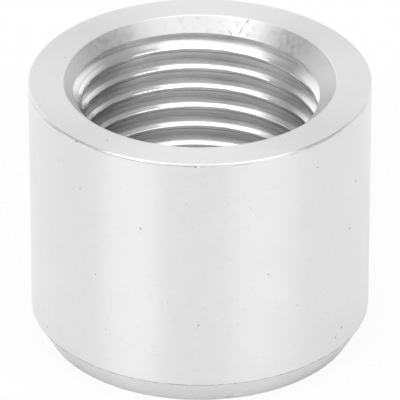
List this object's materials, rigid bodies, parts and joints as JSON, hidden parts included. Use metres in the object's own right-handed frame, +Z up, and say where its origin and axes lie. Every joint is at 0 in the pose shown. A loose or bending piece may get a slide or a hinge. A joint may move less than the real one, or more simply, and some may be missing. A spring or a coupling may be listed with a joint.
{
  "type": "weld bung",
  "caption": "Round weld bung: a plain turned ring with a straight internal thread, a countersunk mouth and a bevelled lower end for welding.",
  "frame": {"origin": "centre of the flat lower end, where the bevelled end rests", "axes": "+Z up along the bore, towards the countersunk mouth; X and Y are across the ring"},
  "size_m": [0.0278, 0.0278, 0.0226],
  "materials": {
    "machined_metal": "satin, as turned"
  },
  "bodies": {
    "root": {"weld_bung": "machined_metal"}
  },
  "joints": []
}
